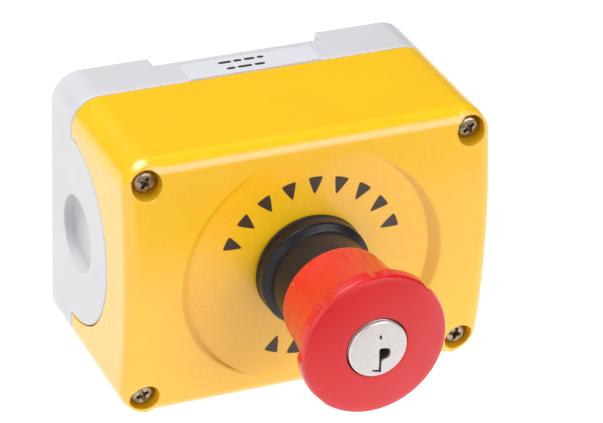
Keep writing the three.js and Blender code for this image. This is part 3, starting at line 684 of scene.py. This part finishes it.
HEAD_LOW, HEAD_HIGH = box_mm("mushroom_head")
HEAD_R = (HEAD_HIGH[0] - HEAD_LOW[0]) / 2
HEAD_FACE_Y = HEAD_LOW[1]
HEAD_BORE_R, HUB_R, HUB_BACK_Y = 8.15, 10.3, -73.2
SKIRT_R, SKIRT_BACK_Y = 13.55, -72.8
HEAD_HOLLOW_Y = -87.5
GRIPS, GRIP_DEPTH, GRIP_CUT_R, GRIP_TURN = 8, 1.1, 4.2, math.radians(42)
HEAD_PROFILE = (
    (HEAD_BORE_R, HUB_BACK_Y), (HEAD_BORE_R, HEAD_FACE_Y + 0.15), (HEAD_BORE_R + 0.15, HEAD_FACE_Y),
    (11.3, HEAD_FACE_Y + 0.08), (14, HEAD_FACE_Y + 0.25), (16.2, HEAD_FACE_Y + 0.45),
    (18.3, HEAD_FACE_Y + 0.75), (19.35, HEAD_FACE_Y + 1.3), (HEAD_R, HEAD_FACE_Y + 2.6),
    (HEAD_R, HEAD_FACE_Y + 4.4), (19.3, HEAD_FACE_Y + 5.1), (17.9, HEAD_FACE_Y + 5.6),
    (17.1, HEAD_FACE_Y + 7), (16.1, -86.5), (15, -79),
    (14.7, SKIRT_BACK_Y - 0.5), (14.3, SKIRT_BACK_Y), (13.9, SKIRT_BACK_Y), (SKIRT_R, SKIRT_BACK_Y - 0.4),
    (SKIRT_R, HEAD_HOLLOW_Y + 0.4), (SKIRT_R - 0.35, HEAD_HOLLOW_Y), (HUB_R + 0.3, HEAD_HOLLOW_Y),
    (HUB_R, HEAD_HOLLOW_Y + 0.4), (HUB_R, HUB_BACK_Y - 0.2), (HUB_R - 0.3, HUB_BACK_Y),
)


def smoothstep(value, low, high):
    share = np.clip((value - low) / (high - low), 0, 1)
    return share * share * (3 - 2 * share)


def grip_limit(angle, depth):
    """How far out the head reaches at an angle, given round cuts that go in by a depth."""
    pitch = 2 * math.pi / GRIPS
    off = (angle - GRIP_TURN + pitch / 2) % pitch - pitch / 2
    middle = HEAD_R + GRIP_CUT_R - depth
    inside = GRIP_CUT_R**2 - (middle * np.sin(off)) ** 2
    return np.where(inside > 0, middle * np.cos(off) - np.sqrt(np.maximum(inside, 0)), 2 * HEAD_R)


def make_head():
    points, faces = lathe(cut_corners(eased(HEAD_PROFILE, 0.6), 2), HEAD_SIDES)
    radius, angle = np.hypot(points[:, 0], points[:, 2]), np.arctan2(points[:, 2], points[:, 0])
    depth = GRIP_DEPTH * smoothstep(points[:, 1], HEAD_FACE_Y + 0.9, HEAD_FACE_Y + 2.4)
    scale = np.minimum(1, grip_limit(angle, depth) / np.maximum(radius, 1))
    points[:, 0] *= scale
    points[:, 2] *= scale
    normals = weighted_normals(points, faces)
    piece = new_piece("head_moulding", points, faces, "head", LOOKS["head_red"], normals)
    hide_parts("mushroom_head")


LOCK_TUBE_BACK_Y, LOCK_TUBE_FRONT_Y = -79.0, CAP_BACK_Y + 0.3
SEAL_R_IN, SEAL_R_OUT, SEAL_BACK_Y, SEAL_FRONT_Y = 11.5, 15.0, -55.75, -57.1


def make_ring(name, node_name, inner, outer, back, front, ease, body, slot_name):
    """A turned ring between two radii, from back to front along Y, with eased edges."""
    path = rounded_outline(inner, outer, back, front, ease)
    points, faces = lathe(path, RING_SIDES)
    piece = new_piece(
        name, points, faces, body, LOOKS[slot_name], weighted_normals(points, faces))
    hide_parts(node_name)


# A coil's closed end in turns, and the share of its height that rises evenly over all of it.
END_TURN, END_RISE = 0.6, 0.08


def coil(radius, wire, length, turns, sides=12, per_turn=48):
    """Points, normals and faces of a wire wound along Z from z = 0, with closed end turns and domed ends."""
    along = np.linspace(0, 1, turns * per_turn + 1)
    lead = np.clip((along * turns - END_TURN) / (turns - 2 * END_TURN), 0, 1)
    height = wire + (length - 2 * wire) * (END_RISE * along + (1 - END_RISE) * lead)
    angle = 2 * math.pi * turns * along
    centre = np.stack([radius * np.cos(angle), radius * np.sin(angle), height], 1)
    forward = unit(np.gradient(centre, axis=0))
    outward = np.stack([np.cos(angle), np.sin(angle), 0 * angle], 1)
    upward = np.cross(forward, outward)
    dome = [math.radians(a) for a in (75, 50, 25)]
    rows = [(0, -wire * math.sin(a), wire * math.cos(a)) for a in dome]
    rows += [(k, 0, wire) for k in range(len(along))]
    rows += [(len(along) - 1, wire * math.sin(a), wire * math.cos(a)) for a in reversed(dome)]
    points, normals = [], []
    for k, shift, size in rows:
        for side in range(sides):
            turn = 2 * math.pi * side / sides
            spoke = math.cos(turn) * outward[k] + math.sin(turn) * upward[k]
            points.append(centre[k] + shift * forward[k] + size * spoke)
            normals.append(shift * forward[k] + size * spoke)
    faces = [tuple(range(sides - 1, -1, -1)), tuple(range(len(points) - sides, len(points)))]
    for row in range(len(rows) - 1):
        for side in range(sides):
            after = (side + 1) % sides
            near, far = row * sides, (row + 1) * sides
            faces.append((near + after, far + after, far + side, near + side))
    return np.array(points), unit(np.array(normals)), faces


RETURN_BACK_Y, RETURN_FRONT_Y = -60.2, -74.6
CONTACT_BACK_Y, CONTACT_FRONT_Y = -20.2, -28.8
LATCH_COIL_Z, LATCH_COIL_LENGTH = 8.5, 2.2
COILS = {  # radius of the coil, radius of the wire, turns
    "return": (6.6, 0.65, 5),
    "contact": (2.2, 0.35, 5),
    "latch": (0.85, 0.22, 3),
}
FORWARD = np.array([[1, 0, 0], [0, 0, -1], [0, 1, 0]])


def make_spring(name, node_name, kind, length, turn, place, joint=None):
    """A coil turned from Z and put in place; with a joint, it is given its own copy of its mesh."""
    radius, wire, turns = COILS[kind]
    points, normals, faces = coil(radius, wire, length, turns)
    piece = new_piece(
        name, points @ turn.T + place, faces, "enclosure", LOOKS["steel"], normals @ turn.T)
    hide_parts(node_name)
    if joint:
        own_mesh(piece)


def make_springs():
    place = (0, RETURN_BACK_Y, 0)
    length = RETURN_BACK_Y - RETURN_FRONT_Y
    make_spring("return_coil", "return_spring", "return", length, FORWARD, place, "head_press")
    length = CONTACT_BACK_Y - CONTACT_FRONT_Y
    for number in (1, 2):
        low, high = box_mm(f"contact_plunger_{number}")
        place = ((low[0] + high[0]) / 2, CONTACT_BACK_Y, 0)
        make_spring(f"contact_coil_{number}", f"contact_spring_{number}", "contact", length, FORWARD, place,
                    f"contact_press_{number}")
    for number, end in ((1, -1), (2, 1)):
        turn = np.diag([1, end, end])
        place = (0, LATCH_Y, end * LATCH_COIL_Z)
        make_spring(f"latch_coil_{number}", f"latch_spring_{number}", "latch", LATCH_COIL_LENGTH, turn, place)


LEGEND_R_IN, LEGEND_R_OUT, LEGEND_HALF, LEGEND_LIFT, LEGEND_EDGE = 20.4, 25.7, 2.2, 0.05, 0.02
LEGEND_ABOVE = [155 - 16.75 * k for k in range(9)]
LEGEND_BELOW = [-113 + 15 * k for k in range(4)]


def make_legend():
    """Pointers printed round the button and aimed at it, at angles from +X."""
    points, faces = [], []
    for degrees in LEGEND_ABOVE + LEGEND_BELOW:
        turn = math.radians(degrees)
        outward = np.array([math.cos(turn), math.sin(turn)])
        across = np.array([-math.sin(turn), math.cos(turn)])
        shape = [(LEGEND_R_IN, 0.0), (LEGEND_R_OUT, -LEGEND_HALF), (LEGEND_R_OUT, LEGEND_HALF)]
        outline = cut_corners(eased([r * outward + w * across for r, w in shape], 0.5), 2)
        flat, rings = plate(outline, LEGEND_LIFT, LEGEND_EDGE)
        start = len(points)
        points.extend((u, FIELD_Y - h, v) for u, v, h in flat)
        faces.extend(tuple(start + i for i in ring) for ring in rings)
    new_piece("legend_marks", points, faces, "enclosure", PRINT)


LABEL_LOW, LABEL_HIGH = box_mm("label")
LABEL_EASE, LABEL_EDGE, PRINT_LIFT = 0.25, 0.03, 0.02
DASH_ROWS = ((2.0, (3.6, 2.2, 3.0, 1.8)), (-1.6, (2.4, 4.0, 2.9)))  # height on the label, and dash lengths
DASH_CENTRE_X, DASH_GAP, DASH_HEIGHT, DASH_EASE = -1.1, 0.7, 1.2, 0.3


def make_label():
    outline = rounded_outline(LABEL_LOW[0], LABEL_HIGH[0], LABEL_LOW[1], LABEL_HIGH[1], LABEL_EASE)
    flat, rings = plate(outline, LABEL_HIGH[2] - LABEL_LOW[2] - PRINT_LIFT, LABEL_EDGE)
    points = flat + [0, 0, LABEL_LOW[2]]
    piece = new_piece("label_film", points, rings, "enclosure", LOOKS["label_paper"])
    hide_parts("label")


def make_dashes():
    """Two rows of dashes printed on the label, in place of its text."""
    points, faces = [], []
    centre_y = (LABEL_LOW[1] + LABEL_HIGH[1]) / 2
    for row_y, dashes in DASH_ROWS:
        start_x = DASH_CENTRE_X - (sum(dashes) + DASH_GAP * (len(dashes) - 1)) / 2
        low_y = centre_y + row_y - DASH_HEIGHT / 2
        for dash in dashes:
            outline = rounded_outline(start_x, start_x + dash, low_y, low_y + DASH_HEIGHT, DASH_EASE)
            flat, rings = plate(outline, PRINT_LIFT, PRINT_LIFT / 2)
            start = len(points)
            points.extend((u, v, LABEL_HIGH[2] - PRINT_LIFT + h) for u, v, h in flat)
            faces.extend(tuple(start + i for i in ring) for ring in rings)
            start_x += dash + DASH_GAP
    new_piece("label_dashes", points, faces, "enclosure", PRINT)


moulding("cover_moulding", "cover", cover_field, BOX_CELL, "enclosure", "cover_yellow")
moulding("base_moulding", "base", base_field, BOX_CELL, "enclosure", "base_grey")
moulding("actuator_moulding", "actuator_body", actuator_field, ACTUATOR_CELL, "enclosure", "black_plastic")
moulding("lock_plug_keyed", "lock_plug", lock_plug_field, FINE_CELL, "lock", "lock_chrome")
make_screws()
make_head()
make_ring(
    "lock_tube", "lock_housing", PLUG_BORE_R, LOCK_R, LOCK_TUBE_BACK_Y, LOCK_TUBE_FRONT_Y, 0.2, "head",
    "lock_chrome")
make_ring(
    "panel_ring", "panel_seal", SEAL_R_IN, SEAL_R_OUT, SEAL_BACK_Y, SEAL_FRONT_Y, 0.4, "enclosure", "rubber")
make_springs()
make_legend()
make_label()
make_dashes()


# ---------------------------------------------------------------- camera, light and floor

AIM = Vector((4.228, -40.0, 6.754)) * MM
AZIMUTH, ELEVATION, ROLL = -24.027, 29.219, 2.164
CAMERA_DISTANCE = 0.85442
LENS, SENSOR = 197.344, 36.0


def from_angles(azimuth, elevation):
    """The direction from the object towards an azimuth and elevation, azimuth 0 being in front."""
    a, e = math.radians(azimuth), math.radians(elevation)
    return Vector((math.sin(a) * math.cos(e), -math.cos(a) * math.cos(e), math.sin(e)))


def make_camera():
    camera = bpy.data.objects.new("camera", bpy.data.cameras.new("camera"))
    bpy.context.scene.collection.objects.link(camera)
    camera.data.lens = LENS
    camera.data.sensor_width = SENSOR
    camera.data.clip_start, camera.data.clip_end = 0.01, 20
    back = from_angles(AZIMUTH, ELEVATION)
    level = (-back).cross(Vector((0, 0, 1))).normalized()
    upright = level.cross(-back)
    roll = math.radians(ROLL)
    right = math.cos(roll) * level + math.sin(roll) * upright
    up = -math.sin(roll) * level + math.cos(roll) * upright
    turn = Matrix((right, up, back)).transposed().to_4x4()
    camera.matrix_world = Matrix.Translation(AIM + back * CAMERA_DISTANCE) @ turn
    bpy.context.scene.camera = camera


def make_light(name, azimuth, elevation, distance, size, power):
    """A soft box that faces AIM from a direction and distance."""
    lamp = bpy.data.lights.new(name, "AREA")
    lamp.shape = "RECTANGLE"
    lamp.size, lamp.size_y = size
    lamp.energy = power
    holder = bpy.data.objects.new(name, lamp)
    bpy.context.scene.collection.objects.link(holder)
    toward = from_angles(azimuth, elevation)
    holder.location = AIM + toward * distance
    holder.rotation_mode = "QUATERNION"
    holder.rotation_quaternion = toward.to_track_quat("Z", "Y")


FLOOR_HALF = 3.0
DIM, LIT = 0.06, 1.05


def make_floor():
    """Pale paper that also glows; the glow is dim in front of the object, except to the camera itself."""
    level = BASE_LOW[2] * MM
    corners = [(x * FLOOR_HALF, y * FLOOR_HALF, level) for x, y in ((-1, -1), (1, -1), (1, 1), (-1, 1))]
    mesh = bpy.data.meshes.new("floor")
    mesh.from_pydata(corners, [], [(0, 1, 2, 3)])
    floor = bpy.data.objects.new("floor", mesh)
    bpy.context.scene.collection.objects.link(floor)
    look, tree, shader, place = new_look("floor_paper")
    cloud = ranged(tree, noise(tree, place, 300, 2), 0.3, 0.7, 0, 1)
    tree.links.new(blended(tree, cloud, (0.12, 0.12, 0.12), (0.11, 0.11, 0.11)), shader.inputs["Base Color"])
    shader.inputs["Roughness"].default_value = 0.8
    shader.inputs["Emission Color"].default_value = (1, 1, 1, 1)
    across = node(tree, "ShaderNodeSeparateXYZ", {"Vector": place}).outputs
    slant = maths(tree, "MULTIPLY_ADD", maths(tree, "ABSOLUTE", across["X"]), 0.8, across["Y"])
    front = ranged(tree, slant, -0.19, -0.105, DIM, 1)
    behind = ranged(tree, across["Y"], -0.07, 0.03, LIT, LIT + 0.1)
    seen = node(tree, "ShaderNodeLightPath").outputs["Is Camera Ray"]
    glow = maths(tree, "MAXIMUM", maths(tree, "MULTIPLY", behind, front), seen)
    tree.links.new(glow, shader.inputs["Emission Strength"])
    mesh.materials.append(look)


WORLD_STRENGTH = 0.08


def make_world():
    world = bpy.data.worlds.new("studio")
    world.use_nodes = True
    sky = world.node_tree.nodes["Background"]
    sky.inputs["Color"].default_value = (1, 1, 1, 1)
    sky.inputs["Strength"].default_value = WORLD_STRENGTH
    bpy.context.scene.world = world


make_camera()
make_floor()
make_world()
make_light("key_softbox", azimuth=26, elevation=26, distance=0.8, size=(0.66, 0.56), power=4.2)
make_light("top_softbox", azimuth=-130, elevation=66, distance=0.9, size=(0.6, 0.6), power=8.1)
make_light("left_fill", azimuth=-55, elevation=20, distance=1.0, size=(1.4, 0.6), power=3.4)
bpy.context.scene.view_settings.view_transform = "Standard"
